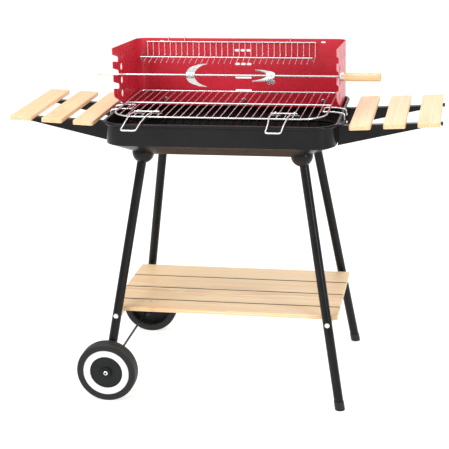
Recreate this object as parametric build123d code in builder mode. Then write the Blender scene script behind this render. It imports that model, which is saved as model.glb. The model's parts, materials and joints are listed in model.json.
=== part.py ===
from build123d import *
import math
import os

# Charcoal barbecue trolley with a rotisserie, in millimetres.
# Frame: X to the right along the fire bowl, Y to the back, Z up. The origin is on the ground, under the
# middle of the bowl. The wheels are on the left legs, and the open side of the windshield faces -Y.

os.makedirs("parts", exist_ok=True)

# ---------------------------------------------------------------- driving dimensions
# fire bowl: a pressed pan with an upright wall, a sloping lower part, a flat floor and a rolled rim
bowl_half_x = 274.0
bowl_half_y = 189.5
bowl_corner_r = 53.0
bowl_sheet = 1.0
bowl_knee_z = 630.0
bowl_floor_z = 598.5
bowl_floor_half = (208.0, 134.5)
bowl_floor_corner_r = 30.0
bead_r = 4.0
bead_z = 680.0
bead_outset = 2.0

# windshield: one sheet bent to a U, its lower edge inside the bowl
shield_half_x = 268.6
shield_front_y = -80.0
shield_back_y = 175.0
shield_bottom_z = 652.0
shield_rear_top_z = 826.0
shield_front_top_z = 842.0
shield_bend_r = 27.0
shield_sheet = 1.2
shield_bolt_z = 668.0
shield_bolt_xs = (-200.0, 5.0, 210.0)
vent_centre_x = 5.0

# spit and its notches in the wings
spit_y = -36.0
spit_z = 771.0
spit_r = 2.4
notch_end_r = 6.5
notch_pitch = 33.0
hang_hole_r = 8.5
hang_hole_y = -4.5
hang_hole_drop = 23.5
spit_left_x = -320.0
spit_handle_x = 272.0
spit_handle_length = 97.0
spit_handle_r = 10.0
fork_left_x = -88.0
fork_right_x = 107.0
fork_left_turn = 12.0
fork_right_turn = 72.0

# cooking grid, on two wire hooks that hang over the bowl's side rims
grid_left_x = -260.0
grid_right_x = 248.0
grid_front_y = -160.0
grid_rear_y = 151.0
grid_z = 694.0
grid_frame_r = 2.0
grid_wire_r = 1.2
grid_corner_r = 64.0
grid_gaps = 27
grid_handle_xs = {"left": (-186.6, -195.0), "right": (143.3, 141.0)}
grid_handle_pivot_y = -115.0
grid_handle_pivot_z = 697.4
grid_handle_tip_y = -243.0

# warming rack, hung on the top edge of the windshield
rack_left_x = -242.5
rack_right_x = 190.5
rack_top_z = 817.6
rack_bend_z = 783.7
rack_rear_y = 169.0
rack_low_y = 115.0
rack_low_z = 772.5
rack_front_y = 92.0
rack_front_z = 791.7
rack_gaps = 29

# legs, lower shelf and wheels
leg_top = (192.6, 115.9, 598.5)
leg_foot = (292.5, 221.0)
leg_r = 11.2
leg_wall = 1.2
wheel_x = -277.0
wheel_r = 74.0
wheel_mid_y = 230.8
wheel_width = 35.4
axle_r = 3.0
lower_top_z = 215.5
lower_slat_thickness = 10.0
lower_slat_spans = ((-161.5, -102.5), (-98.5, -14.5), (-10.5, 73.5), (77.5, 161.5))
lower_slat_left_xs = (-271.0, -280.0, -280.0, -280.0)
lower_slat_right_x = 280.0

# side shelves: three slats on two tapered brackets, rising slightly outwards
side_slat_xs = ((304.4, 353.0), (382.2, 432.1), (459.9, 511.0))
side_slat_ys = ((-157.0, 184.0), (-153.0, 177.0), (-150.0, 177.0))
side_slat_thickness = 10.0
side_rise = math.radians(2.7)
side_top_x = 328.7
side_top_z = 680.8
bracket_y = 105.0
bracket_sheet = 2.0
bracket_foot_z = 621.5
bracket_tip_x = 511.4

sides = {"left": -1, "right": 1}
ends = {"front": -1, "rear": 1}


recess_width = 1.1
recess_depth = 1.3


def write(builder, name):
    """Labels a finished piece and writes it as its own STEP file."""
    builder.part.label = name
    export_step(builder.part, f"parts/{name}.step")


def cross(length):
    """Plan of a screw head's cross recess."""
    with BuildSketch() as plan:
        Rectangle(length, recess_width)
        Rectangle(recess_width, length)
    return plan.sketch


# ---------------------------------------------------------------- fire bowl
def bowl_form(inset):
    """The bowl's closed outer form, drawn in by inset on the walls and the floor."""
    floor_half_x = bowl_floor_half[0] - inset
    floor_half_y = bowl_floor_half[1] - inset
    floor_corner = bowl_floor_corner_r - inset
    with BuildPart() as form:
        with BuildSketch(Plane.XY.offset(bowl_floor_z + inset)):
            RectangleRounded(2 * floor_half_x, 2 * floor_half_y, floor_corner)
        with BuildSketch(Plane.XY.offset(bowl_knee_z)):
            RectangleRounded(2 * (bowl_half_x - inset), 2 * (bowl_half_y - inset), bowl_corner_r - inset)
        loft()
        with BuildSketch(Plane.XY.offset(bowl_knee_z)):
            RectangleRounded(2 * (bowl_half_x - inset), 2 * (bowl_half_y - inset), bowl_corner_r - inset)
        extrude(amount=bead_z - bowl_knee_z)
    return form.part


bowl_outside = bowl_form(0)
bowl_inside = bowl_form(bowl_sheet)

with BuildSketch(Plane.XY.offset(bead_z)) as rim_outline:
    RectangleRounded(
        2 * (bowl_half_x + bead_outset), 2 * (bowl_half_y + bead_outset), bowl_corner_r + bead_outset
    )
rim_path = rim_outline.sketch.face().outer_wire()

leg_bolt_r = 3.0
bracket_bolt_r = 2.5
bracket_bolt_zs = (634.0, 654.0)
bracket_flange = 16.0
hole_gap = 0.1

with BuildPart() as firebowl:
    add(bowl_outside)
    add(bowl_inside, mode=Mode.SUBTRACT)
    with BuildSketch(Plane(origin=rim_path @ 0, z_dir=rim_path % 0)):
        Circle(bead_r)
    sweep(path=rim_path)
    with BuildSketch(Plane.XY.offset(bowl_floor_z)):
        with GridLocations(2 * leg_top[0], 2 * leg_top[1], 2, 2):
            Circle(leg_bolt_r + hole_gap)
    extrude(amount=4 * bowl_sheet, both=True, mode=Mode.SUBTRACT)
    with BuildSketch(Plane.XZ.offset(-bowl_half_y)):
        with Locations([(x, shield_bolt_z) for x in shield_bolt_xs]):
            Circle(leg_bolt_r + hole_gap)
    extrude(amount=4 * bowl_sheet, both=True, mode=Mode.SUBTRACT)
    with BuildSketch(Plane.YZ):
        for y in (-1, 1):
            with Locations([(y * (bracket_y - bracket_flange / 2), z) for z in bracket_bolt_zs]):
                Circle(bracket_bolt_r + hole_gap)
    extrude(amount=bowl_half_x + 10, both=True, mode=Mode.SUBTRACT)
write(firebowl, "firebowl")

# ---------------------------------------------------------------- charcoal grate
grate_z = 620.0
grate_half_x = 245.0
grate_half_y = 164.0
grate_corner_r = 42.0
grate_frame_r = 2.5
grate_wires = 19


def straight_wire(start, end, radius):
    """A round wire between two points."""
    with BuildPart() as wire:
        with BuildSketch(Plane(origin=start, z_dir=Vector(*end) - Vector(*start))):
            Circle(radius)
        extrude(amount=(Vector(*end) - Vector(*start)).length)
    return wire.part


with BuildSketch(Plane.XY.offset(grate_z)) as grate_outline:
    RectangleRounded(2 * grate_half_x, 2 * grate_half_y, grate_corner_r)
grate_path = grate_outline.sketch.face().outer_wire()
grate_wire = straight_wire((0, -grate_half_y, 0), (0, grate_half_y, 0), 1.6)
grate_bar = straight_wire((-grate_half_x, 0, 0), (grate_half_x, 0, 0), 2.0)

with BuildPart() as charcoal_grate:
    with BuildSketch(Plane(origin=grate_path @ 0, z_dir=grate_path % 0)):
        Circle(grate_frame_r)
    sweep(path=grate_path)
    with Locations((0, 0, grate_z)):
        with GridLocations(22.0, 1, grate_wires, 1):
            add(grate_wire)
        with GridLocations(1, 150.0, 1, 2):
            add(grate_bar)
write(charcoal_grate, "charcoal_grate")

# ---------------------------------------------------------------- windshield
notch_end_z = spit_z + notch_end_r - spit_r - 0.3
notch_rows = (-notch_pitch, 0.0, notch_pitch)
shield_deep = shield_back_y - shield_front_y
shield_mid_y = (shield_front_y + shield_back_y) / 2


def shield_plan(inset):
    """Plan of the windshield's bent sheet: a rectangle with its rear corners rounded, drawn in by inset."""
    with BuildSketch() as plan:
        with Locations((0, shield_mid_y - inset)):
            Rectangle(2 * (shield_half_x - inset), shield_deep)
        fillet(plan.vertices().group_by(Axis.Y)[-1], radius=shield_bend_r - inset)
    return plan.sketch


shield_outer_plan = shield_plan(0)
shield_inner_plan = shield_plan(shield_sheet)

with BuildPart() as windshield:
    with BuildSketch(Plane.XY.offset(shield_bottom_z)):
        add(shield_outer_plan)
        add(shield_inner_plan, mode=Mode.SUBTRACT)
    extrude(amount=shield_front_top_z - shield_bottom_z)
    # side profile: rising top edge, notched front edge, and a sloping edge down into the bowl
    with BuildSketch(Plane.YZ) as side_profile:
        Polygon(
            (shield_back_y + 5, shield_bottom_z),
            (shield_back_y + 5, shield_rear_top_z),
            (shield_front_y, shield_front_top_z),
            (shield_front_y, 724.5),
            (98.5, shield_bottom_z),
            align=None,
        )
        for row in notch_rows:
            end_z = notch_end_z + row
            with Locations((spit_y, end_z)):
                Circle(notch_end_r, mode=Mode.SUBTRACT)
            Polygon(
                (spit_y, end_z + notch_end_r),
                (shield_front_y - 1, end_z + 19),
                (shield_front_y - 1, end_z + 2.5),
                (spit_y, end_z - notch_end_r),
                align=None,
                mode=Mode.SUBTRACT,
            )
            with Locations((hang_hole_y, end_z - hang_hole_drop)):
                Circle(hang_hole_r, mode=Mode.SUBTRACT)
        front = side_profile.vertices().group_by(Axis.X)[0]
        fillet(front.sort_by(Axis.Y)[1:-1], radius=2.5)
        fillet(side_profile.vertices().group_by(Axis.X)[0].sort_by(Axis.Y)[0], radius=14)
    extrude(amount=shield_half_x + 5, both=True, mode=Mode.INTERSECT)
    # vents in the middle of the back: two rows of three short slots, then two long ones
    with BuildSketch(Plane.XZ.offset(-shield_back_y)):
        for row_z in (796.0, 761.0):
            with Locations((vent_centre_x, row_z)):
                with GridLocations(15.0, 1, 3, 1):
                    SlotOverall(12.5, 6.0)
        for row_z in (726.0, 693.0):
            with Locations((vent_centre_x, row_z)):
                SlotOverall(42.0, 5.0)
        with Locations((-205.0, 818.0), (210.0, 818.0)):
            SlotOverall(11.0, 4.5)
        with Locations([(x, shield_bolt_z) for x in shield_bolt_xs]):
            Circle(leg_bolt_r + hole_gap)
    extrude(amount=3 * shield_sheet, both=True, mode=Mode.SUBTRACT)
write(windshield, "windshield")

# bolts, spacers and nuts that hold the windshield off the bowl's rear wall
bowl_wall_inner_y = bowl_half_y - bowl_sheet
with BuildPart() as shield_bolts:
    with BuildSketch(Plane.XZ.offset(-(shield_back_y - shield_sheet))):
        with Locations([(x, shield_bolt_z) for x in shield_bolt_xs]):
            Circle(6.0)
    extrude(amount=4.0)
    fillet(shield_bolts.edges().group_by(Axis.Y)[0], radius=2.0)
    with BuildSketch(Plane.XZ.offset(-(shield_back_y - shield_sheet - 4.0))):
        with Locations([(x, shield_bolt_z) for x in shield_bolt_xs]):
            add(cross(6.0))
    extrude(amount=-recess_depth, mode=Mode.SUBTRACT)
    with BuildSketch(Plane.XZ.offset(-(shield_back_y - shield_sheet))):
        with Locations([(x, shield_bolt_z) for x in shield_bolt_xs]):
            Circle(leg_bolt_r)
    extrude(amount=-(bowl_half_y + 5.5 - shield_back_y + shield_sheet))
write(shield_bolts, "shield_bolts")

with BuildPart() as shield_spacers:
    with BuildSketch(Plane.XZ.offset(-bowl_wall_inner_y)):
        with Locations([(x, shield_bolt_z) for x in shield_bolt_xs]):
            Circle(6.0)
            Circle(leg_bolt_r + hole_gap, mode=Mode.SUBTRACT)
    extrude(amount=bowl_wall_inner_y - shield_back_y)
write(shield_spacers, "shield_spacers")

with BuildPart() as shield_nuts:
    with BuildSketch(Plane.XZ.offset(-bowl_half_y)):
        with Locations([(x, shield_bolt_z) for x in shield_bolt_xs]):
            RegularPolygon(radius=5.0, side_count=6, major_radius=False)
            Circle(leg_bolt_r + hole_gap, mode=Mode.SUBTRACT)
    extrude(amount=-4.5)
write(shield_nuts, "shield_nuts")

# ---------------------------------------------------------------- warming rack
rack_wire_r = 1.0
rack_rail_r = 1.4
rack_end_wire_r = 1.2
hook_xs = (-187.0, -145.0, 128.0)
with BuildPart() as rack_wire:
    with BuildLine(Plane.YZ) as rack_bend:
        FilletPolyline(
            (rack_rear_y, rack_top_z),
            (rack_rear_y, rack_bend_z),
            (rack_low_y, rack_low_z),
            radius=4,
        )
    with BuildSketch(Plane(origin=rack_bend.line @ 0, z_dir=rack_bend.line % 0)):
        Circle(rack_wire_r)
    sweep(path=rack_bend.line)
    fillet(rack_wire.faces().sort_by(Axis.Y)[0].edges(), radius=0.5)
with BuildPart() as rack_end_wire:
    with BuildLine(Plane.YZ) as rack_end_bend:
        FilletPolyline(
            (rack_rear_y, rack_top_z),
            (rack_rear_y, rack_bend_z),
            (rack_low_y, rack_low_z),
            (rack_front_y, rack_front_z),
            radius=4,
        )
    with BuildSketch(Plane(origin=rack_end_bend.line @ 0, z_dir=rack_end_bend.line % 0)):
        Circle(rack_end_wire_r)
    sweep(path=rack_end_bend.line)
with BuildPart() as rack_hook:
    with BuildLine(Plane.YZ) as hook_bend:
        FilletPolyline(
            (rack_rear_y, rack_top_z),
            (rack_rear_y, shield_rear_top_z + 5),
            (shield_back_y + 3.5, shield_rear_top_z + 5),
            (shield_back_y + 3.5, shield_rear_top_z - 8),
            radius=3,
        )
    with BuildSketch(Plane(origin=hook_bend.line @ 0, z_dir=hook_bend.line % 0)):
        Circle(rack_wire_r)
    sweep(path=hook_bend.line)
rack_top_rail = straight_wire(
    (rack_left_x - 2, rack_rear_y, rack_top_z), (rack_right_x + 2, rack_rear_y, rack_top_z), rack_rail_r
)
rack_front_rail = straight_wire(
    (rack_left_x - 2, rack_front_y, rack_front_z), (rack_right_x + 2, rack_front_y, rack_front_z), rack_rail_r
)
rack_wire_one = rack_wire.part
rack_end_wire_one = rack_end_wire.part
rack_hook_one = rack_hook.part

with BuildPart() as warming_rack:
    add(rack_top_rail)
    add(rack_front_rail)
    with Locations(((rack_left_x + rack_right_x) / 2, 0, 0)):
        with GridLocations((rack_right_x - rack_left_x) / rack_gaps, 1, rack_gaps - 1, 1):
            add(rack_wire_one)
        with GridLocations(rack_right_x - rack_left_x, 1, 2, 1):
            add(rack_end_wire_one)
    with Locations([(x, 0, 0) for x in hook_xs]):
        add(rack_hook_one)
write(warming_rack, "warming_rack")

# ---------------------------------------------------------------- cooking grid
grid_mid_x = (grid_left_x + grid_right_x) / 2
grid_mid_y = (grid_front_y + grid_rear_y) / 2
with BuildSketch(Plane.XY.offset(grid_z)) as grid_outline:
    with Locations((grid_mid_x, grid_mid_y)):
        Rectangle(grid_right_x - grid_left_x, grid_rear_y - grid_front_y)
    fillet(grid_outline.vertices().group_by(Axis.Y)[0], radius=grid_corner_r)
    fillet(grid_outline.vertices().group_by(Axis.Y)[-1], radius=12)
grid_path = grid_outline.sketch.face().outer_wire()
grid_pitch = (grid_right_x - grid_left_x) / grid_gaps


def front_rail_y(x):
    """Where the frame's front rail, rounded at its corners, crosses this x."""
    past = max(grid_left_x + grid_corner_r - x, x - (grid_right_x - grid_corner_r), 0)
    return grid_front_y + grid_corner_r - math.sqrt(grid_corner_r**2 - past**2)


grid_wires = [
    straight_wire((x, front_rail_y(x), grid_z), (x, grid_rear_y, grid_z), grid_wire_r)
    for x in [grid_left_x + grid_pitch * n for n in range(1, grid_gaps)]
]
grid_mid_bar = straight_wire((grid_left_x, 0, grid_z), (grid_right_x, 0, grid_z), 2.2)

with BuildPart() as cooking_grid:
    with BuildSketch(Plane(origin=grid_path @ 0, z_dir=grid_path % 0)):
        Circle(grid_frame_r)
    sweep(path=grid_path)
    for wire in grid_wires:
        add(wire)
    add(grid_mid_bar)
write(cooking_grid, "cooking_grid")

# wire bail handles on the grid, each turning in two clips
handle_wire_r = 1.7
handle_bar_r = 1.9
handle_bar = (-24.5, 37.0)
handle_arm_half = 21.5
handle_tip_half = 18.0
clip_r = 4.6
clip_offsets = (-14.0, 31.0)
clip_foot = (23.0, 4.0, 1.2)


def handle_bend(base_x, tip_x):
    """Centreline of a handle's loop: from the pivot bar over the rails, down to the tip and back."""
    rail_point = (grid_front_y, grid_z + grid_frame_r + handle_wire_r + 1.2)
    rim_point = (-bowl_half_y - 8, bead_z + bead_r + handle_wire_r + 2.5)
    tip_point = (grid_handle_tip_y, 680.0)
    rail_x = base_x + (tip_x - base_x) * 0.4
    with BuildLine() as loop:
        FilletPolyline(
            (base_x - handle_arm_half, grid_handle_pivot_y, grid_handle_pivot_z),
            (rail_x - handle_arm_half, *rail_point),
            (tip_x - handle_tip_half - 0.5, *rim_point),
            (tip_x - handle_tip_half, *tip_point),
            (tip_x + handle_tip_half, *tip_point),
            (tip_x + handle_tip_half + 0.5, *rim_point),
            (rail_x + handle_arm_half, *rail_point),
            (base_x + handle_arm_half, grid_handle_pivot_y, grid_handle_pivot_z),
            radius=7,
        )
    return loop.line


for side, (base_x, tip_x) in grid_handle_xs.items():
    bend = handle_bend(base_x, tip_x)
    pivot_bar = straight_wire(
        (base_x + handle_bar[0], grid_handle_pivot_y, grid_handle_pivot_z),
        (base_x + handle_bar[1], grid_handle_pivot_y, grid_handle_pivot_z),
        handle_bar_r,
    )
    with BuildPart() as grid_handle:
        with BuildSketch(Plane(origin=bend @ 0, z_dir=bend % 0)):
            Circle(handle_wire_r)
        sweep(path=bend)
        add(pivot_bar)
    write(grid_handle, f"grid_handle_{side}")

# each clip is an eye round the pivot bar on a strip welded under the grid's wires
with BuildPart() as handle_clips:
    for base_x, tip_x in grid_handle_xs.values():
        for offset in clip_offsets:
            with BuildSketch(Plane.YZ.offset(base_x + offset)):
                with Locations((grid_handle_pivot_y, grid_handle_pivot_z)):
                    Circle(clip_r)
                    Circle(handle_bar_r + hole_gap, mode=Mode.SUBTRACT)
            extrude(amount=1.5, both=True)
            with Locations((base_x + offset, grid_handle_pivot_y, grid_z - grid_wire_r)):
                Box(*clip_foot)
write(handle_clips, "handle_clips")

# wire hooks over the side rims that carry the cooking grid
hook_r = 2.0
hook_y_legs = (-57.0, -8.0)
hook_over_z = bead_z + bead_r + hook_r
hook_under_z = grid_z - grid_frame_r - hook_r + 0.2
for side, sign in sides.items():
    with BuildLine() as hook_line:
        FilletPolyline(
            (sign * 284.5, hook_y_legs[0], 672.0),
            (sign * 284.5, hook_y_legs[0], hook_over_z + 0.8),
            (sign * 262.0, hook_y_legs[0], hook_under_z),
            (sign * 234.0, hook_y_legs[0], hook_under_z),
            (sign * 234.0, hook_y_legs[1], hook_under_z),
            (sign * 262.0, hook_y_legs[1], hook_under_z),
            (sign * 284.5, hook_y_legs[1], hook_over_z + 0.8),
            (sign * 284.5, hook_y_legs[1], 672.0),
            radius=4,
        )
    with BuildPart() as grid_hook:
        with BuildSketch(Plane(origin=hook_line.line @ 0, z_dir=hook_line.line % 0)):
            Circle(hook_r)
        sweep(path=hook_line.line)
    write(grid_hook, f"grid_hook_{side}")

# ---------------------------------------------------------------- spit
ferrule_length = 9.0
with BuildPart() as spit_rod:
    with BuildSketch(Plane.YZ.offset(spit_left_x)):
        with Locations((spit_y, spit_z)):
            Circle(spit_r)
    extrude(amount=spit_handle_x + 60 - spit_left_x)
    chamfer(spit_rod.faces().sort_by(Axis.X)[0].edges(), length=2.0)
write(spit_rod, "spit_rod")

with BuildPart() as spit_handle:
    with BuildSketch(Plane.YZ.offset(spit_handle_x + ferrule_length)):
        with Locations((spit_y, spit_z)):
            Circle(spit_handle_r)
    extrude(amount=spit_handle_length - ferrule_length)
    fillet(spit_handle.faces().sort_by(Axis.X)[-1].edges(), radius=4.0)
    with BuildSketch(Plane.YZ.offset(spit_handle_x)):
        with Locations((spit_y, spit_z)):
            Circle(spit_r + 0.05)
    extrude(amount=60.5, mode=Mode.SUBTRACT)
write(spit_handle, "spit_handle")

with BuildPart() as spit_ferrule:
    with BuildSketch(Plane.YZ.offset(spit_handle_x)):
        with Locations((spit_y, spit_z)):
            Circle(spit_handle_r + 0.4)
            Circle(spit_r + 0.05, mode=Mode.SUBTRACT)
    extrude(amount=ferrule_length)
    fillet(spit_ferrule.faces().sort_by(Axis.X)[0].outer_wire().edges(), radius=1.5)
write(spit_ferrule, "spit_ferrule")

# meat forks: a hub that slides on the rod, a flat two-pronged blade, and a thumbscrew that locks it
blade_half = 1.5
blade_tip = (41.0, 27.4)
hub_r = 7.0
hub_half = 10.0
screw_r = 2.5


def fork_plane(hub_x, tip_sign, turn_degrees):
    """Local frame of a fork: x to its tips, y along the line through its two prongs, z out of its screw."""
    turn = math.radians(turn_degrees)
    screw_way = Vector(0, math.cos(turn), -math.sin(turn)) * -tip_sign
    return Plane(origin=(hub_x, spit_y, spit_z), x_dir=(tip_sign, 0, 0), z_dir=screw_way)


with BuildPart() as fork_pattern:
    with BuildSketch():
        with BuildLine():
            outer_edge = Spline(
                (-10.5, 0), (-9.0, 9.0), (-2.0, 17.5), (16.0, 24.3), (blade_tip[0], blade_tip[1] + 0.4),
                tangents=[(0, 1), (1, 0.06)],
            )
            inner_edge = Spline(
                (9.0, 0), (11.0, 7.5), (18.0, 16.4), (28.0, 22.8), (blade_tip[0], blade_tip[1] - 0.4),
                tangents=[(0, 1), (1, 0.3)],
            )
            Line(outer_edge @ 1, inner_edge @ 1)
            Line(inner_edge @ 0, outer_edge @ 0)
        make_face()
        mirror(about=Plane.XZ)
    extrude(amount=blade_half, both=True)
    with BuildSketch(Plane.YZ.offset(-hub_half)):
        Circle(hub_r)
    extrude(amount=2 * hub_half)
    with BuildSketch(Plane.XY):
        Circle(6.0)
    extrude(amount=hub_r + 2.0)
    with BuildSketch(Plane.YZ.offset(-2 * hub_half)):
        Circle(spit_r + hole_gap)
    extrude(amount=4 * hub_half, mode=Mode.SUBTRACT)
    with BuildSketch(Plane.XY):
        Circle(screw_r + hole_gap)
    extrude(amount=4 * hub_r, mode=Mode.SUBTRACT)

with BuildPart() as screw_pattern:
    with BuildSketch(Plane.XY.offset(spit_r + 0.4)):
        Circle(screw_r)
    extrude(amount=hub_r + 2.4 - spit_r)
    with BuildSketch(Plane.XY.offset(hub_r + 2.4)):
        Circle(4.0)
    extrude(amount=3.0)
    with BuildSketch(Plane.XZ):
        with Locations((0, hub_r + 10.0)):
            Ellipse(10.0, 6.5)
        with Locations((0, hub_r + 17.5)):
            Circle(4.5, mode=Mode.SUBTRACT)
    extrude(amount=1.3, both=True)
fork_shape = fork_pattern.part
screw_shape = screw_pattern.part

for side, hub_x, tip_sign, turn in (
    ("left", fork_left_x, 1, fork_left_turn),
    ("right", fork_right_x, -1, fork_right_turn),
):
    place = fork_plane(hub_x, tip_sign, turn)
    with BuildPart() as spit_fork:
        add(place.from_local_coords(fork_shape))
    write(spit_fork, f"spit_fork_{side}")
    with BuildPart() as thumbscrew:
        add(place.from_local_coords(screw_shape))
    write(thumbscrew, f"thumbscrew_{side}")

# ---------------------------------------------------------------- legs
leg_run = Vector(leg_foot[0] - leg_top[0], leg_foot[1] - leg_top[1], -leg_top[2])
left_leg_end_z = 55.0
foot_cap_r = 12.0
foot_cap_top_z = 20.0
foot_pad = 4.0
plug_thickness = 4.0


def leg_point(sx, sy, z):
    """The point on a leg's axis at height z."""
    share = (leg_top[2] - z) / leg_top[2]
    return Vector(sx * (leg_top[0] + share * leg_run.X), sy * (leg_top[1] + share * leg_run.Y), z)


def leg_rod(sx, sy, radius, low_z, high_z):
    """A round rod along a leg's axis, cut level at both heights."""
    start = leg_point(sx, sy, low_z - 30)
    finish = leg_point(sx, sy, high_z + 30)
    with BuildPart() as rod:
        with BuildSketch(Plane(origin=start, z_dir=finish - start)):
            Circle(radius)
        extrude(amount=(finish - start).length)
        split(bisect_by=Plane.XY.offset(low_z), keep=Keep.TOP)
        split(bisect_by=Plane.XY.offset(high_z), keep=Keep.BOTTOM)
    return rod.part


leg_ends_z = {"left": left_leg_end_z, "right": foot_pad}
cross_bolt_z = 201.4
cross_bolt_r = 3.0


def cross_bolt_plane(sx, sy):
    """Where a crossbar bolt enters its leg: on the leg's axis, z outwards and square to the leg."""
    outwards = Vector(0, sy * leg_top[2], -sy * leg_run.Y * -sy)
    return Plane(origin=leg_point(sx, sy, cross_bolt_z), x_dir=(1, 0, 0), z_dir=outwards)


for side, sx in sides.items():
    for end, sy in ends.items():
        tube_outside = leg_rod(sx, sy, leg_r, leg_ends_z[side], leg_top[2])
        tube_inside = leg_rod(sx, sy, leg_r - leg_wall, leg_ends_z[side] - 20, leg_top[2] + 20)
        with BuildPart() as leg:
            add(tube_outside)
            add(tube_inside, mode=Mode.SUBTRACT)
            with BuildSketch(cross_bolt_plane(sx, sy)):
                Circle(cross_bolt_r + hole_gap)
            extrude(amount=2 * leg_r, both=True, mode=Mode.SUBTRACT)
            if side == "left":
                with BuildSketch(Plane.XZ):
                    with Locations((wheel_x, wheel_r)):
                        Circle(axle_r + hole_gap)
                extrude(amount=wheel_mid_y, both=True, mode=Mode.SUBTRACT)
        write(leg, f"leg_{end}_{side}")

leg_sleeves = [leg_rod(sx, sy, leg_r, 560.0, leg_top[2] + 5) for sx in (-1, 1) for sy in (-1, 1)]
socket_r = 26.5
socket_z = 599.5
with BuildPart() as leg_sockets:
    with Locations((0, 0, socket_z)):
        with GridLocations(2 * 191.5, 2 * 121.0, 2, 2):
            Sphere(socket_r)
    add(bowl_outside, mode=Mode.SUBTRACT)
    for sleeve in leg_sleeves:
        add(sleeve, mode=Mode.SUBTRACT)
write(leg_sockets, "leg_sockets")

with BuildPart() as leg_bolts:
    with BuildSketch(Plane.XY.offset(bowl_floor_z + bowl_sheet)):
        with GridLocations(2 * leg_top[0], 2 * leg_top[1], 2, 2):
            Circle(7.0)
    extrude(amount=3.5)
    fillet(leg_bolts.edges().group_by(Axis.Z)[-1], radius=2.5)
    with BuildSketch(Plane.XY.offset(bowl_floor_z + bowl_sheet + 3.5)):
        with GridLocations(2 * leg_top[0], 2 * leg_top[1], 2, 2):
            add(cross(7.0))
    extrude(amount=-recess_depth, mode=Mode.SUBTRACT)
    with BuildSketch(Plane.XY.offset(bowl_floor_z + bowl_sheet)):
        with GridLocations(2 * leg_top[0], 2 * leg_top[1], 2, 2):
            Circle(leg_bolt_r)
    extrude(amount=-12.0)
write(leg_bolts, "leg_bolts")

for end, sy in ends.items():
    cap_outside = leg_rod(1, sy, foot_cap_r, 0, foot_cap_top_z)
    cap_inside = leg_rod(1, sy, leg_r, foot_pad, foot_cap_top_z + 20)
    with BuildPart() as foot_cap:
        add(cap_outside)
        add(cap_inside, mode=Mode.SUBTRACT)
    write(foot_cap, f"foot_cap_{end}")

plugs = [leg_rod(-1, sy, leg_r, left_leg_end_z - plug_thickness, left_leg_end_z) for sy in (-1, 1)]
with BuildPart() as leg_end_plugs:
    for plug in plugs:
        add(plug)
write(leg_end_plugs, "leg_end_plugs")

# ---------------------------------------------------------------- crossbars and lower shelf
crossbar_width = 15.0
crossbar_height = 12.0
crossbar_mid_z = lower_top_z - lower_slat_thickness - crossbar_height / 2
crossbar_x = leg_point(1, 1, crossbar_mid_z).X
crossbar_half = leg_point(1, 1, crossbar_mid_z).Y
screw_shank_r = 1.9
screw_bite = 7.0
lower_slat_ys = [(front_y + rear_y) / 2 for front_y, rear_y in lower_slat_spans]

for side, sx in sides.items():
    near_legs = [leg_rod(sx, sy, leg_r, 150, 250) for sy in (-1, 1)]
    with BuildPart() as crossbar:
        with Locations((sx * crossbar_x, 0, crossbar_mid_z)):
            Box(crossbar_width, 2 * crossbar_half, crossbar_height)
        for near_leg in near_legs:
            add(near_leg, mode=Mode.SUBTRACT)
        for sy in (-1, 1):
            with BuildSketch(cross_bolt_plane(sx, sy)):
                Circle(cross_bolt_r + hole_gap)
            extrude(amount=-32.0, mode=Mode.SUBTRACT)
        with BuildSketch(Plane.XY.offset(crossbar_mid_z)):
            with Locations([(sx * crossbar_x, y) for y in lower_slat_ys]):
                Circle(screw_shank_r + hole_gap)
        extrude(amount=crossbar_height, both=True, mode=Mode.SUBTRACT)
    write(crossbar, f"crossbar_{side}")

with BuildPart() as crossbar_bolts:
    for sx in (-1, 1):
        for sy in (-1, 1):
            with BuildSketch(cross_bolt_plane(sx, sy).offset(leg_r)):
                Circle(6.0)
            extrude(amount=3.4, taper=28)
            with BuildSketch(cross_bolt_plane(sx, sy).offset(leg_r + 3.4)):
                add(cross(5.4))
            extrude(amount=-recess_depth, mode=Mode.SUBTRACT)
            with BuildSketch(cross_bolt_plane(sx, sy).offset(leg_r)):
                Circle(cross_bolt_r)
            extrude(amount=-38.0)
write(crossbar_bolts, "crossbar_bolts")

for number, ((front_y, rear_y), left_x) in enumerate(zip(lower_slat_spans, lower_slat_left_xs), start=1):
    slat_y = (front_y + rear_y) / 2
    with BuildPart() as lower_slat_part:
        with BuildSketch(Plane.XY.offset(lower_top_z)):
            with Locations(((left_x + lower_slat_right_x) / 2, slat_y)):
                Rectangle(lower_slat_right_x - left_x, rear_y - front_y)
        extrude(amount=-lower_slat_thickness)
        fillet(lower_slat_part.faces().sort_by(Axis.Z)[-1].edges(), radius=1.5)
        with BuildSketch(Plane.XY.offset(lower_top_z - lower_slat_thickness)):
            with Locations((-crossbar_x, slat_y), (crossbar_x, slat_y)):
                Circle(screw_shank_r + hole_gap)
        extrude(amount=screw_bite + 0.5, mode=Mode.SUBTRACT)
    write(lower_slat_part, f"lower_slat_{number}")

crossbar_under_z = crossbar_mid_z - crossbar_height / 2
screw_spots = [(x, y) for x in (-crossbar_x, crossbar_x) for y in lower_slat_ys]
with BuildPart() as lower_slat_screws:
    with BuildSketch(Plane.XY.offset(crossbar_under_z)):
        with Locations(screw_spots):
            Circle(3.8)
    extrude(amount=-2.4)
    fillet(lower_slat_screws.edges().group_by(Axis.Z)[0], radius=1.2)
    with BuildSketch(Plane.XY.offset(crossbar_under_z - 2.4)):
        with Locations(screw_spots):
            add(cross(4.2))
    extrude(amount=recess_depth, mode=Mode.SUBTRACT)
    with BuildSketch(Plane.XY.offset(crossbar_under_z)):
        with Locations(screw_spots):
            Circle(screw_shank_r)
    extrude(amount=crossbar_height + screw_bite)
write(lower_slat_screws, "lower_slat_screws")

# ---------------------------------------------------------------- side shelves
shelf_way = Vector(math.cos(side_rise), 0, math.sin(side_rise))
shelf_up = Vector(-math.sin(side_rise), 0, math.cos(side_rise))


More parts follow.
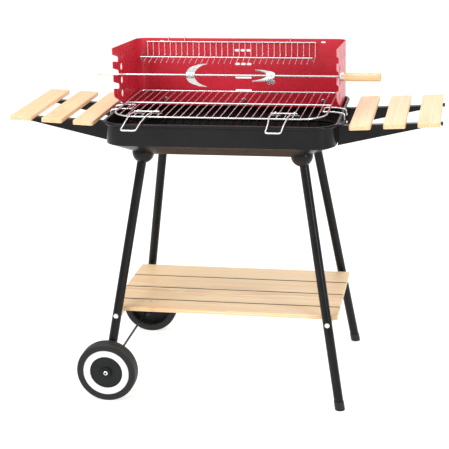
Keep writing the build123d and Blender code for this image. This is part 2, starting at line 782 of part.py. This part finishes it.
def under_z(x):
    """Height of the slats' underside, which is the brackets' top edge, on the right-hand shelf."""
    return side_top_z - side_slat_thickness / math.cos(side_rise) + (x - side_top_x) * math.tan(side_rise)


def slat_plane(x):
    """The right-hand shelf's underside at this x, with z square to the slats."""
    return Plane(origin=(x, 0, under_z(x)), x_dir=shelf_way, z_dir=shelf_up)


slat_screw_y = bracket_y - bracket_flange / 2
for number, ((inner_x, outer_x), (front_y, rear_y)) in enumerate(zip(side_slat_xs, side_slat_ys), start=1):
    with BuildPart() as right_slat:
        with BuildSketch(slat_plane((inner_x + outer_x) / 2)) as slat_plan:
            with Locations((0, (front_y + rear_y) / 2)):
                Rectangle(outer_x - inner_x, rear_y - front_y)
            chamfer(slat_plan.vertices(), length=3.5)
        extrude(amount=side_slat_thickness)
        fillet(right_slat.faces().sort_by(Axis.Z)[-1].edges(), radius=1.4)
        with BuildSketch(slat_plane((inner_x + outer_x) / 2)):
            with GridLocations(1, 2 * slat_screw_y, 1, 2):
                Circle(screw_shank_r + hole_gap)
        extrude(amount=screw_bite + 0.5, mode=Mode.SUBTRACT)
    write(right_slat, f"side_slat_right_{number}")
    left_shape = right_slat.part.mirror(Plane.YZ)
    with BuildPart() as left_slat:
        add(left_shape)
    write(left_slat, f"side_slat_left_{number}")

# a tapered web, a flange under the slats and a tab on the bowl's wall; the flange points inwards
with BuildPart() as bracket_pattern:
    with BuildSketch(Plane.XZ.offset(bracket_y)):
        Polygon(
            (bowl_half_x, bracket_foot_z),
            (bowl_half_x, under_z(bowl_half_x)),
            (bracket_tip_x, under_z(bracket_tip_x)),
            (bracket_tip_x, under_z(bracket_tip_x) - 3.0),
            align=None,
        )
    extrude(amount=-bracket_sheet)
    with BuildSketch(Plane.XZ.offset(bracket_y)):
        Polygon(
            (bowl_half_x, under_z(bowl_half_x) - bracket_sheet),
            (bowl_half_x, under_z(bowl_half_x)),
            (bracket_tip_x, under_z(bracket_tip_x)),
            (bracket_tip_x, under_z(bracket_tip_x) - bracket_sheet),
            align=None,
        )
    extrude(amount=-bracket_flange)
    with BuildSketch(Plane.XZ.offset(bracket_y)):
        Polygon(
            (bowl_half_x, bracket_foot_z),
            (bowl_half_x, under_z(bowl_half_x)),
            (bowl_half_x + bracket_sheet, under_z(bowl_half_x)),
            (bowl_half_x + bracket_sheet, bracket_foot_z),
            align=None,
        )
    extrude(amount=-bracket_flange)
    for inner_x, outer_x in side_slat_xs:
        with BuildSketch(slat_plane((inner_x + outer_x) / 2)):
            with Locations((0, -slat_screw_y)):
                Circle(screw_shank_r + hole_gap)
        extrude(amount=bracket_sheet * 2, both=True, mode=Mode.SUBTRACT)
    with BuildSketch(Plane.YZ.offset(bowl_half_x)):
        with Locations([(-bracket_y + bracket_flange / 2, z) for z in bracket_bolt_zs]):
            Circle(bracket_bolt_r + hole_gap)
    extrude(amount=2 * bracket_sheet, mode=Mode.SUBTRACT)

bracket_shapes = {("front", "right"): bracket_pattern.part}
bracket_shapes[("rear", "right")] = bracket_pattern.part.mirror(Plane.XZ)
bracket_shapes[("front", "left")] = bracket_pattern.part.mirror(Plane.YZ)
bracket_shapes[("rear", "left")] = bracket_shapes[("rear", "right")].mirror(Plane.YZ)
for (end, side), shape in bracket_shapes.items():
    with BuildPart() as shelf_bracket:
        add(shape)
    write(shelf_bracket, f"shelf_bracket_{end}_{side}")

# rounded plastic caps on the brackets' outer tips
cap_half = (2.5, 4.5, 4.5)
cap_mid_z = under_z(bracket_tip_x) - 1.5
with BuildPart() as bracket_caps:
    with Locations((0, 0, cap_mid_z)):
        with GridLocations(2 * (bracket_tip_x + cap_half[0]), 2 * (bracket_y - bracket_sheet / 2), 2, 2):
            Box(2 * cap_half[0], 2 * cap_half[1], 2 * cap_half[2])
    fillet(bracket_caps.edges(), radius=2.0)
write(bracket_caps, "bracket_caps")

with BuildPart() as bracket_bolts:
    for sx in (-1, 1):
        for sy in (-1, 1):
            spots = [(sy * (bracket_y - bracket_flange / 2), z) for z in bracket_bolt_zs]
            with BuildSketch(Plane.YZ.offset(sx * (bowl_half_x + bracket_sheet))):
                with Locations(spots):
                    Circle(4.8)
            extrude(amount=sx * 2.8, taper=20)
            with BuildSketch(Plane.YZ.offset(sx * (bowl_half_x + bracket_sheet + 2.8))):
                with Locations(spots):
                    add(cross(4.6))
            extrude(amount=-sx * recess_depth, mode=Mode.SUBTRACT)
            with BuildSketch(Plane.YZ.offset(sx * (bowl_half_x + bracket_sheet))):
                with Locations(spots):
                    Circle(bracket_bolt_r)
            extrude(amount=-sx * (bracket_sheet + bowl_sheet))
            with BuildSketch(Plane.YZ.offset(sx * (bowl_half_x - bowl_sheet))):
                with Locations(spots):
                    RegularPolygon(radius=4.0, side_count=6, major_radius=False)
            extrude(amount=-sx * 2.2)
write(bracket_bolts, "bracket_bolts")

# wood screws up through the flanges
with BuildPart() as right_slat_screws:
    for inner_x, outer_x in side_slat_xs:
        head_plane = slat_plane((inner_x + outer_x) / 2).offset(-bracket_sheet)
        with BuildSketch(head_plane):
            with GridLocations(1, 2 * slat_screw_y, 1, 2):
                Circle(3.8)
        extrude(amount=-2.4, taper=15)
        with BuildSketch(head_plane):
            with GridLocations(1, 2 * slat_screw_y, 1, 2):
                Circle(screw_shank_r)
        extrude(amount=bracket_sheet + screw_bite)
left_screws = right_slat_screws.part.mirror(Plane.YZ)
right_screws = right_slat_screws.part
with BuildPart() as side_slat_screws:
    add(right_screws)
    add(left_screws)
write(side_slat_screws, "side_slat_screws")

# ---------------------------------------------------------------- axle and wheels
axle_half = wheel_mid_y + wheel_width / 2
cap_height = 3.4
axle_cap_r = 5.6
with BuildPart() as axle:
    with BuildSketch(Plane.XZ):
        with Locations((wheel_x, wheel_r)):
            Circle(axle_r)
    extrude(amount=axle_half - 0.5, both=True)
write(axle, "axle")

with BuildPart() as axle_caps:
    for sy in (-1, 1):
        with BuildSketch(Plane.XZ.offset(-sy * (axle_half - 0.5))):
            with Locations((wheel_x, wheel_r)):
                Circle(axle_cap_r)
        extrude(amount=-sy * cap_height)
    fillet(
        axle_caps.edges().group_by(Axis.Y)[0] + axle_caps.edges().group_by(Axis.Y)[-1], radius=2.2
    )
    for sy in (-1, 1):
        with BuildSketch(Plane.XZ.offset(-sy * (axle_half - 0.5 + cap_height))):
            with Locations((wheel_x, wheel_r)):
                Circle(2.5)
        extrude(amount=sy * 2.2, mode=Mode.SUBTRACT)
write(axle_caps, "axle_caps")

tyre_inner_r = 58.0
ring_inner_r = 40.8
wheel_inner_w = wheel_mid_y - wheel_width / 2
wheel_outer_w = wheel_mid_y + wheel_width / 2
hub_inner_w = 223.0
hub_outer_w = wheel_outer_w - 1.5
web_inner_w = 236.0
web_outer_w = 243.0
groove_spacing = 6.5


def wheel_plane(sy):
    """Half-section plane through the wheel's axis: x outwards along the axle, y up from the axle."""
    return Plane(origin=(wheel_x, 0, wheel_r), x_dir=(0, sy, 0), z_dir=(sy, 0, 0))


for end, sy in ends.items():
    section_plane = wheel_plane(sy)
    wheel_axis = Axis((wheel_x, 0, wheel_r), (0, 1, 0))
    with BuildPart() as tyre:
        with BuildSketch(section_plane) as tyre_section:
            Polygon(
                (wheel_inner_w, tyre_inner_r),
                (wheel_inner_w, wheel_r),
                (wheel_outer_w, wheel_r),
                (wheel_outer_w, tyre_inner_r),
                align=None,
            )
            fillet(tyre_section.vertices().group_by(Axis.Y)[-1], radius=6.0)
            for groove_w in (wheel_mid_y - groove_spacing, wheel_mid_y, wheel_mid_y + groove_spacing):
                with Locations((groove_w, wheel_r)):
                    Rectangle(1.6, 2.4, mode=Mode.SUBTRACT)
        revolve(axis=wheel_axis)
    write(tyre, f"tyre_{end}")
    with BuildPart() as wheel_disc:
        with BuildSketch(section_plane):
            Polygon(
                (hub_inner_w, axle_r + 0.08),
                (hub_inner_w, 11.0),
                (web_inner_w, 14.0),
                (web_inner_w, tyre_inner_r - 3.0),
                (wheel_inner_w + 1.0, tyre_inner_r - 3.0),
                (wheel_inner_w + 1.0, tyre_inner_r),
                (wheel_outer_w - 1.0, tyre_inner_r),
                (web_outer_w, tyre_inner_r - 0.4),
                (web_outer_w, ring_inner_r),
                (web_outer_w - 1.0, ring_inner_r - 4.0),
                (web_outer_w - 1.0, 14.0),
                (hub_outer_w, 12.0),
                (hub_outer_w, axle_r + 0.08),
                align=None,
            )
        revolve(axis=wheel_axis)
    write(wheel_disc, f"wheel_disc_{end}")
    with BuildPart() as wheel_ring:
        with BuildSketch(section_plane) as ring_section:
            Polygon(
                (web_outer_w, ring_inner_r),
                (web_outer_w, tyre_inner_r - 0.5),
                (web_outer_w + 3.2, tyre_inner_r - 0.5),
                (web_outer_w + 3.2, ring_inner_r),
                align=None,
            )
            fillet(ring_section.vertices().group_by(Axis.X)[-1 if sy > 0 else -1], radius=1.0)
        revolve(axis=wheel_axis)
    write(wheel_ring, f"wheel_ring_{end}")
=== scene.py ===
import bpy
import bmesh
import json
import math
import random
from mathutils import Matrix, Vector

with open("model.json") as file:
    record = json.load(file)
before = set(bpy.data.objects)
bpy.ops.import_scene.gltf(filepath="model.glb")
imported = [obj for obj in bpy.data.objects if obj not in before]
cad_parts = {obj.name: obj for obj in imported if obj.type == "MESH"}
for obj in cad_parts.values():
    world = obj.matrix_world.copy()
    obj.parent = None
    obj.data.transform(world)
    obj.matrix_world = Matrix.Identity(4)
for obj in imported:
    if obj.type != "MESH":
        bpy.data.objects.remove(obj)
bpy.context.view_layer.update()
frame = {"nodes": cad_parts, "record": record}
nodes = frame["nodes"]
scene = bpy.context.scene

SIDES = ("left", "right")
WHEEL_X = -0.277
WHEEL_Z = 0.074
BOWL_BELLY_LOW = 0.6275
BOWL_BELLY_HIGH = 0.6305
TREAD_INNER = 0.0705
TREAD_OUTER = 0.0732
CAP_HOLE_INNER = 0.0026
CAP_HOLE_OUTER = 0.0030
LOWER_SLAT_HEIGHT = 0.2
SIDE_SLAT_HEIGHT = 0.66
RINGS_PER_METRE = 300.0
LATE_WOOD = (0.62, 0.345, 0.150)
KNOT_HEART = (0.20, 0.088, 0.038)
KNOT_HALO = (0.62, 0.34, 0.15)
FIBRE_BROWN = (0.55, 0.34, 0.17)
# painted shade for the slat edges that face a gap
SLAT_GAP_SHADE = (0.035, 0.020, 0.010)
FLOOR_HALF = 14.0
WORLD_STRENGTH = 0.55
CAMERA_AT = (0.5629, -3.0647, 1.3507)
CAMERA_TURN = (0.1881, 0.3001, -0.0240)
CAMERA_LENS = 104.2
CAMERA_SENSOR = 36.0


# ---------------------------------------------------------------- node helpers
class Tree:
    """A material's node tree, with short calls for the nodes used here."""

    def __init__(self, name):
        self.material = bpy.data.materials.new(name)
        self.material.use_nodes = True
        self.tree = self.material.node_tree
        self.tree.nodes.clear()
        self.out = self.add("ShaderNodeOutputMaterial")
        self.shader = self.add("ShaderNodeBsdfPrincipled")
        self.join(self.shader.outputs[0], self.out.inputs["Surface"])

    def add(self, kind, **values):
        node = self.tree.nodes.new(kind)
        for key, value in values.items():
            setattr(node, key, value)
        return node

    def join(self, source, target):
        self.tree.links.new(source, target)

    def feed(self, value, socket):
        """Links a socket, or sets a plain number or colour on it."""
        if isinstance(value, bpy.types.NodeSocket):
            self.join(value, socket)
        elif isinstance(value, tuple) and len(value) == 3 and len(socket.default_value) == 4:
            socket.default_value = (*value, 1.0)
        else:
            socket.default_value = value

    def set(self, **values):
        """Sets or links inputs of the main shader."""
        for key, value in values.items():
            self.feed(value, self.shader.inputs[key.replace("_", " ")])

    def coords(self):
        return self.add("ShaderNodeTexCoord").outputs["Object"]

    def math(self, operation, a, b=0.0):
        node = self.add("ShaderNodeMath", operation=operation)
        self.feed(a, node.inputs[0])
        self.feed(b, node.inputs[1])
        return node.outputs[0]

    def times(self, a, b):
        return self.math("MULTIPLY", a, b)

    def plus(self, a, b):
        return self.math("ADD", a, b)

    def stretch(self, vector, scale):
        node = self.add("ShaderNodeMapping")
        self.join(vector, node.inputs["Vector"])
        node.inputs["Scale"].default_value = scale
        return node.outputs[0]

    def split(self, vector):
        node = self.add("ShaderNodeSeparateXYZ")
        self.join(vector, node.inputs[0])
        return node.outputs

    def combine(self, x, y, z):
        node = self.add("ShaderNodeCombineXYZ")
        for value, socket in zip((x, y, z), node.inputs):
            self.feed(value, socket)
        return node.outputs[0]

    def noise(self, vector, scale, detail=3.0, rough=0.5, distortion=0.0):
        node = self.add("ShaderNodeTexNoise")
        self.join(vector, node.inputs["Vector"])
        node.inputs["Scale"].default_value = scale
        node.inputs["Detail"].default_value = detail
        node.inputs["Roughness"].default_value = rough
        node.inputs["Distortion"].default_value = distortion
        return node.outputs["Fac"]

    def cells(self, vector, scale, output="Distance"):
        node = self.add("ShaderNodeTexVoronoi")
        self.join(vector, node.inputs["Vector"])
        node.inputs["Scale"].default_value = scale
        return node.outputs[output]

    def between(self, value, low, high, to_low=0.0, to_high=1.0):
        """Maps low..high to to_low..to_high, smoothly and clamped."""
        node = self.add("ShaderNodeMapRange", interpolation_type="SMOOTHSTEP")
        self.feed(value, node.inputs["Value"])
        limits = {"From Min": low, "From Max": high, "To Min": to_low, "To Max": to_high}
        for key, limit in limits.items():
            node.inputs[key].default_value = limit
        return node.outputs["Result"]

    def mix(self, factor, a, b):
        node = self.add("ShaderNodeMix", data_type="RGBA")
        self.feed(factor, node.inputs["Factor"])
        self.feed(a, node.inputs[6])
        self.feed(b, node.inputs[7])
        return node.outputs[2]

    def bump(self, height, strength, distance, normal=None):
        node = self.add("ShaderNodeBump")
        self.feed(height, node.inputs["Height"])
        node.inputs["Strength"].default_value = strength
        node.inputs["Distance"].default_value = distance
        if normal is not None:
            self.join(normal, node.inputs["Normal"])
        return node.outputs[0]

    def facing(self):
        """How far the surface faces along x, y and z, each from -1 to 1."""
        return self.split(self.add("ShaderNodeNewGeometry").outputs["Normal"])

    def length(self, a, b):
        return self.math("SQRT", self.plus(self.times(a, a), self.times(b, b)))

    def wheel_radius(self, at):
        """Distance from the axis that both wheels share."""
        x, y, z = self.split(at)
        return self.length(self.plus(x, -WHEEL_X), self.plus(z, -WHEEL_Z))


# ---------------------------------------------------------------- materials
def enamel(name, colour, shade, rough, coat, shine):
    """Fired enamel: nearly smooth, with a faint orange peel, specks and slow changes of gloss."""
    t = Tree(name)
    at = t.coords()
    cloud = t.noise(at, 9.0, 4.0, 0.55)
    colour_out = t.mix(t.between(cloud, 0.35, 0.7), colour, shade)
    specks = t.between(t.cells(at, 420.0), 0.03, 0.07, 1.0, 0.0)
    rare = t.between(t.noise(at, 70.0, 1.0), 0.62, 0.68)
    speck = t.times(specks, rare)
    pale = tuple(min(1.0, c * 2.2 + 0.02) for c in colour)
    colour_out = t.mix(t.times(speck, 0.35), colour_out, pale)
    peel = t.noise(at, 330.0, 2.0, 0.45)
    wave = t.noise(at, 26.0, 2.0, 0.5)
    normal = t.bump(peel, 0.22, 0.00012)
    normal = t.bump(wave, 0.10, 0.0009, normal)
    t.set(Base_Color=colour_out, Metallic=0.0, Normal=normal)
    uneven = t.noise(at, 34.0, 5.0, 0.6)
    t.set(Roughness=t.between(uneven, 0.3, 0.75, rough * 0.8, rough * 1.3))
    t.set(Coat_Weight=coat, Coat_Roughness=0.12, IOR=1.5, Specular_IOR_Level=shine)
    return t


def bowl_enamel():
    """Black enamel, with a painted warm brown reflection of the floor under the belly."""
    t = enamel("black_enamel", (0.0075, 0.0075, 0.008), (0.011, 0.011, 0.012), 0.24, 0.0, 0.17)
    at = t.coords()
    x, y, z = t.split(at)
    base = t.shader.inputs["Base Color"].links[0].from_socket
    belly = t.between(z, BOWL_BELLY_HIGH, BOWL_BELLY_LOW)
    ragged = t.times(t.math("SUBTRACT", t.noise(at, 18.0, 4.0), 0.5), 0.09)
    along = t.plus(x, ragged)
    left_end = t.between(along, -0.185, -0.12)
    right_end = t.between(along, 0.155, 0.215, 1.0, 0.0)
    middle = t.times(left_end, right_end)
    face_down = t.between(t.facing()[2], -0.2, -0.45)
    # painted reflection: the downward-facing belly band is coloured warm brown to stand in for the warm
    # floor it reflects
    reflection_brown = t.mix(t.noise(at, 14.0, 3.0), (0.050, 0.026, 0.014), (0.034, 0.019, 0.011))
    painted_reflection = t.times(t.times(belly, face_down), middle)
    gloss = t.shader.inputs["Roughness"].links[0].from_socket
    t.set(Base_Color=t.mix(painted_reflection, base, reflection_brown), Roughness=t.plus(gloss, t.times(painted_reflection, 0.5)))
    return t.material


def powder_coat(name, colour, light, rough):
    """Powder coat: a fine even texture, slightly uneven gloss, and scuffs that show lighter."""
    t = Tree(name)
    at = t.coords()
    fine = t.noise(at, 1500.0, 2.0, 0.6)
    cloud = t.noise(at, 22.0, 4.0, 0.6)
    scuff = t.noise(t.stretch(at, (60.0, 60.0, 9.0)), 3.2, 6.0, 0.7, 0.6)
    scuffed = t.between(scuff, 0.66, 0.76)
    mixed = t.mix(t.between(cloud, 0.3, 0.7), colour, light)
    t.set(Base_Color=t.mix(t.times(scuffed, 0.35), mixed, tuple(c * 2.4 for c in light)))
    t.set(Roughness=t.between(cloud, 0.25, 0.8, rough * 0.85, rough * 1.25))
    t.set(Metallic=0.0, IOR=1.5)
    t.set(Normal=t.bump(fine, 0.25, 0.00008), Coat_Weight=0.0, Specular_IOR_Level=0.18)
    return t.material


def chrome(name, colour=(0.86, 0.865, 0.86), rough=0.24, metal=0.8):
    """Chrome plate on drawn wire: bright, with faint draw lines, a haze of handling and tiny pits."""
    t = Tree(name)
    at = t.coords()
    haze = t.noise(at, 55.0, 5.0, 0.65)
    pits = t.between(t.cells(at, 900.0), 0.05, 0.14, 1.0, 0.0)
    rare = t.between(t.noise(at, 120.0, 2.0), 0.60, 0.70)
    pitted = t.times(pits, rare)
    shaded = t.mix(t.between(haze, 0.4, 0.8), colour, tuple(c * 0.88 for c in colour))
    t.set(Base_Color=t.mix(t.times(pitted, 0.5), shaded, (0.30, 0.27, 0.24)))
    t.set(Metallic=metal, Roughness=t.between(haze, 0.3, 0.8, rough * 0.7, rough * 1.7))
    t.set(Normal=t.bump(t.noise(at, 700.0, 3.0), 0.12, 0.00005))
    return t.material


def zinc(name):
    """Zinc plated steel: a duller, faintly spangled metal with turning marks."""
    t = Tree(name)
    at = t.coords()
    spangle = t.cells(at, 260.0, output="Color")
    grey = t.mix(0.12, (0.63, 0.64, 0.66), spangle)
    t.set(Base_Color=grey, Metallic=1.0)
    t.set(Roughness=t.between(t.noise(at, 160.0, 4.0, 0.6), 0.3, 0.75, 0.24, 0.42))
    t.set(Normal=t.bump(t.noise(at, 1100.0, 2.0), 0.2, 0.00005))
    return t.material


def moulded(name, colour, light, rough, grain=0.00009, coat=0.0, shine=0.3):
    """Moulded plastic: a fine spark-eroded grain, soft sheen changes and a few rubbed places."""
    t = Tree(name)
    at = t.coords()
    fine = t.noise(at, 1300.0, 3.0, 0.65)
    cloud = t.noise(at, 40.0, 4.0, 0.6)
    t.set(Base_Color=t.mix(t.between(cloud, 0.35, 0.75), colour, light))
    t.set(Roughness=t.between(cloud, 0.25, 0.8, rough * 0.85, rough * 1.2))
    t.set(Metallic=0.0, IOR=1.47, Specular_IOR_Level=shine)
    t.set(Normal=t.bump(fine, 0.35, grain), Coat_Weight=coat, Coat_Roughness=0.08)
    return t.material


def pine(name, along, seed, tone=0.0, shaded=(0.0, 0.0)):
    """Pale pine with its grain along one axis: rings cut lengthwise, fibres, pores and knots.

    tone darkens the wood, and shaded gives how dark the painted shade on the two long edges is.
    """
    rng = random.Random(seed)
    t = Tree(name)
    at = t.coords()
    x, y, z = t.split(at)
    lengthwise = along == "x"
    u, v = (x, y) if lengthwise else (y, x)
    shift = t.plus(u, rng.uniform(-40.0, 40.0))
    ring_v = rng.uniform(-0.035, 0.035)
    ring_z = rng.uniform(0.035, 0.11)
    centre = rng.choice((-1, 1)) * rng.uniform(0.0, 0.02)

    def grain(per_u, per_v, third, detail, rough):
        """Noise drawn out along the grain."""
        place = t.combine(t.times(shift, per_u), t.times(v, per_v), third)
        return t.noise(place, 1.0, detail, rough)

    # knots bend the rings around them
    across = t.times(t.plus(v, centre + seed * 0.37), 17.0)
    plan = t.combine(t.times(shift, 4.2), across, seed * 1.7)
    knot_cell = t.cells(plan, 1.0)
    knot_place = t.combine(t.times(shift, 1.3), seed * 2.3, 0.0)
    knot_on = t.between(t.noise(knot_place, 1.0, 0.0), 0.52, 0.56)
    knot_core = t.times(t.between(knot_cell, 0.05, 0.13, 1.0, 0.0), knot_on)
    knot_halo = t.times(t.between(knot_cell, 0.10, 0.42, 1.0, 0.0), knot_on)
    slow = grain(1.6, 9.0, seed * 0.9, 3.0, 0.5)
    wobble = grain(9.0, 60.0, seed * 0.9, 3.0, 0.55)
    slat_height = LOWER_SLAT_HEIGHT if lengthwise else SIDE_SLAT_HEIGHT
    distance = t.length(t.plus(v, ring_v), t.plus(z, ring_z - slat_height))
    rings = t.times(distance, RINGS_PER_METRE)
    rings = t.plus(rings, t.times(slow, 6.5))
    rings = t.plus(rings, t.times(wobble, 0.9))
    rings = t.plus(rings, t.times(knot_halo, 4.0))
    band = t.math("FRACT", rings)
    late = t.times(t.between(band, 0.45, 0.90), t.between(band, 0.94, 1.0, 1.0, 0.0))
    fibre = grain(22.0, 1500.0, t.times(z, 1500.0), 3.0, 0.6)
    streak = grain(3.0, 160.0, t.times(z, 160.0), 4.0, 0.6)
    early = (0.93 - tone * 0.13, 0.735 - tone * 0.21, 0.480 - tone * 0.20)
    warm = (0.87 - tone * 0.13, 0.600 - tone * 0.17, 0.335 - tone * 0.13)
    base = t.mix(t.between(streak, 0.3, 0.7), early, warm)
    base = t.mix(t.times(late, 0.60), base, LATE_WOOD)
    base = t.mix(t.between(fibre, 0.60, 0.78, 0.0, 0.30), base, FIBRE_BROWN)
    base = t.mix(t.times(knot_halo, 0.35), base, KNOT_HALO)
    base = t.mix(t.times(knot_core, 0.88), base, KNOT_HEART)
    # painted shade on the long edges between two slats, where the gaps fall into shadow
    side_way = t.facing()[1 if lengthwise else 0]
    for sign, depth in zip((-1.0, 1.0), shaded):
        if depth:
            gap_shade = t.between(t.times(side_way, sign), 0.22, 0.5, 0.0, depth)
            base = t.mix(gap_shade, base, SLAT_GAP_SHADE)
    t.set(Base_Color=base, Metallic=0.0, IOR=1.46)
    t.set(Roughness=t.between(t.plus(late, t.times(fibre, 0.5)), 0.0, 1.4, 0.52, 0.38))
    height = t.plus(t.times(late, 0.6), t.times(fibre, 0.7))
    t.set(Normal=t.bump(height, 0.35, 0.00022), Coat_Weight=0.12, Coat_Roughness=0.35)
    return t.material


def tyre_black():
    """The tyre: dark plastic, paler on the tread, with fine moulding rings on the sidewall."""
    t = Tree("tyre_plastic")
    at = t.coords()
    radius = t.wheel_radius(at)
    tread = t.between(radius, TREAD_INNER, TREAD_OUTER)
    tread_mottle = t.noise(at, 90.0, 5.0, 0.7)
    # the tread band is painted paler, in a mottled pattern
    paler_tread = t.times(tread, t.between(tread_mottle, 0.35, 0.75, 0.25, 0.8))
    side = t.mix(t.noise(at, 30.0, 4.0), (0.0150, 0.0165, 0.0160), (0.022, 0.0235, 0.023))
    t.set(Base_Color=t.mix(paler_tread, side, (0.055, 0.054, 0.052)), Specular_IOR_Level=0.2)
    lines = t.math("SINE", t.times(radius, 3300.0))
    normal = t.bump(lines, 0.12, 0.0002)
    t.set(Normal=t.bump(t.noise(at, 1200.0, 3.0), 0.25, 0.00008, normal))
    t.set(Roughness=t.between(tread_mottle, 0.3, 0.8, 0.42, 0.58), IOR=1.47)
    return t.material


def axle_chrome():
    """The chromed push caps on the axle, each with painted shade, near black, in the hole in its middle.
    """
    t = Tree("axle_chrome")
    at = t.coords()
    # painted shade: inside the hole's radius the colour is near black, standing in for the dark recess
    outside_hole_shade = t.between(t.wheel_radius(at), CAP_HOLE_INNER, CAP_HOLE_OUTER)
    t.set(Base_Color=t.mix(outside_hole_shade, (0.012, 0.012, 0.012), (0.88, 0.88, 0.89)), Metallic=outside_hole_shade)
    t.set(Roughness=t.between(t.noise(at, 300.0, 3.0), 0.3, 0.7, 0.10, 0.22))
    t.set(Normal=t.bump(t.noise(at, 900.0, 2.0), 0.1, 0.00004))
    return t.material


black_enamel = bowl_enamel()
black_paint = powder_coat(
    "black_powder_coat", (0.0060, 0.0062, 0.0066), (0.010, 0.0103, 0.0106), 0.17)
black_wire = powder_coat("black_wire_paint", (0.010, 0.010, 0.010), (0.018, 0.017, 0.016), 0.55)
red_enamel = enamel(
    "red_enamel", (0.66, 0.028, 0.050), (0.59, 0.022, 0.042), 0.26, 0.06, 0.28).material
chrome_wire = chrome("chrome_wire")
zinc_steel = zinc("zinc_steel")
# the crossbar bolt heads: near-white and only partly metallic, a painted glint for their bright
# reflection
zinc_painted_glint = chrome("zinc_painted_glint", (0.95, 0.95, 0.95), 0.35, 0.4)
spit_chrome = chrome("spit_chrome", (0.66, 0.66, 0.65), 0.20, 1.0)
tyre_plastic = tyre_black()
wheel_plastic = moulded(
    "wheel_plastic", (0.0105, 0.0120, 0.0115), (0.016, 0.0175, 0.017), 0.38, shine=0.18)
white_plastic = moulded(
    "white_plastic", (0.84, 0.84, 0.83), (0.79, 0.79, 0.77), 0.28, 0.00003, 0.3)
black_plastic = moulded("black_plastic", (0.014, 0.014, 0.015), (0.021, 0.021, 0.022), 0.45)


def finish_node(name, material, smooth_angle=32.0):
    """Puts a material on a CAD node and shades its round faces smoothly."""
    thing = nodes[name]
    thing.data.materials.clear()
    thing.data.materials.append(material)
    for polygon in thing.data.polygons:
        polygon.material_index = 0
    thing.data.shade_smooth()
    thing.data.set_sharp_from_angle(angle=math.radians(smooth_angle))


by_slot = {
    "black_enamel": black_enamel,
    "black_paint": black_paint,
    "black_wire": black_wire,
    "red_enamel": red_enamel,
    "chrome": chrome_wire,
    "zinc_steel": zinc_steel,
    "wheel_plastic": wheel_plastic,
    "white_plastic": white_plastic,
    "black_plastic": black_plastic,
}
slots = {part["node"]: part["material_slot"] for part in frame["record"]["subparts"]}
for node_name, slot_name in sorted(slots.items()):
    if slot_name in by_slot:
        finish_node(node_name, by_slot[slot_name])
for end in ("front", "rear"):
    finish_node(f"tyre_{end}", tyre_plastic)
finish_node("axle_caps", axle_chrome())
finish_node("spit_rod", spit_chrome)
finish_node("crossbar_bolts", zinc_painted_glint)

for number in range(1, 5):
    # painted shade on the lower slats' long edges that face a gap; the front edge of slat 1 has none
    gap_shades = (0.0 if number == 1 else 0.85, 0.85)
    wood = pine(f"pine_lower_{number}", "x", number, 0.12 * (number % 2), gap_shades)
    finish_node(f"lower_slat_{number}", wood)
for index, side in enumerate(SIDES):
    finish_node(f"crossbar_{side}", pine(f"pine_crossbar_{side}", "y", 40 + index, 0.4))
for index, side in enumerate(SIDES):
    for number in range(1, 4):
        seed = 10 + 5 * index + number
        wood = pine(f"pine_{side}_{number}", "y", seed, 0.45)
        finish_node(f"side_slat_{side}_{number}", wood)
finish_node("spit_handle", pine("pine_handle", "x", 31, 0.5))


# ---------------------------------------------------------------- stage, light and camera
def stage_floor():
    mesh = bpy.data.meshes.new("stage_floor")
    built = bmesh.new()
    signs = ((-1, -1), (1, -1), (1, 1), (-1, 1))
    corners = [built.verts.new((a * FLOOR_HALF, b * FLOOR_HALF, 0)) for a, b in signs]
    built.faces.new(corners)
    built.to_mesh(mesh)
    built.free()
    floor = bpy.data.objects.new("stage_floor", mesh)
    scene.collection.objects.link(floor)
    t = Tree("stage_floor")
    t.set(Base_Color=(0.50, 0.50, 0.50), Roughness=0.9, Metallic=0.0)
    t.set(Emission_Color=(1.0, 1.0, 1.0), Emission_Strength=0.70, Specular_IOR_Level=0.1)
    mesh.materials.append(t.material)


stage_floor()
world = bpy.data.worlds.new("studio")
scene.world = world
world.use_nodes = True
background = world.node_tree.nodes["Background"]
background.inputs["Color"].default_value = (1.0, 1.0, 1.0, 1.0)
background.inputs["Strength"].default_value = WORLD_STRENGTH


def area_light(name, position, target, size, power):
    data = bpy.data.lights.new(name, "AREA")
    data.shape = "RECTANGLE"
    data.size, data.size_y = size
    data.energy = power
    lamp = bpy.data.objects.new(name, data)
    lamp.location = position
    direction = Vector(target) - Vector(position)
    lamp.rotation_euler = direction.to_track_quat("-Z", "Y").to_euler()
    scene.collection.objects.link(lamp)


area_light("key", (-1.9, -2.4, 3.0), (0.0, 0.0, 0.5), (2.3, 2.3), 105.0)
area_light("fill", (2.6, -2.2, 1.6), (0.0, 0.0, 0.4), (0.8, 2.4), 44.0)
area_light("top", (0.0, 0.4, 3.4), (0.0, 0.0, 0.6), (2.4, 2.0), 40.0)
area_light("back", (0.4, 3.0, 2.2), (0.0, 0.0, 0.6), (2.5, 1.5), 25.0)


def photo_camera():
    """The photograph's viewpoint: in front, a little to the right and above, with a long lens."""
    yaw, pitch, roll = CAMERA_TURN
    flat = math.cos(pitch)
    ahead = Vector((-math.sin(yaw) * flat, math.cos(yaw) * flat, -math.sin(pitch)))
    level = Vector((math.cos(yaw), math.sin(yaw), 0.0))
    above = level.cross(ahead)
    right = level * math.cos(roll) + above * math.sin(roll)
    up = above * math.cos(roll) - level * math.sin(roll)
    data = bpy.data.cameras.new("camera")
    data.lens = CAMERA_LENS
    data.sensor_width = CAMERA_SENSOR
    camera = bpy.data.objects.new("camera", data)
    turn = Matrix((right, up, -ahead)).transposed()
    camera.matrix_world = Matrix.Translation(CAMERA_AT) @ turn.to_4x4()
    scene.collection.objects.link(camera)
    scene.camera = camera


photo_camera()
scene.view_settings.view_transform = "Standard"
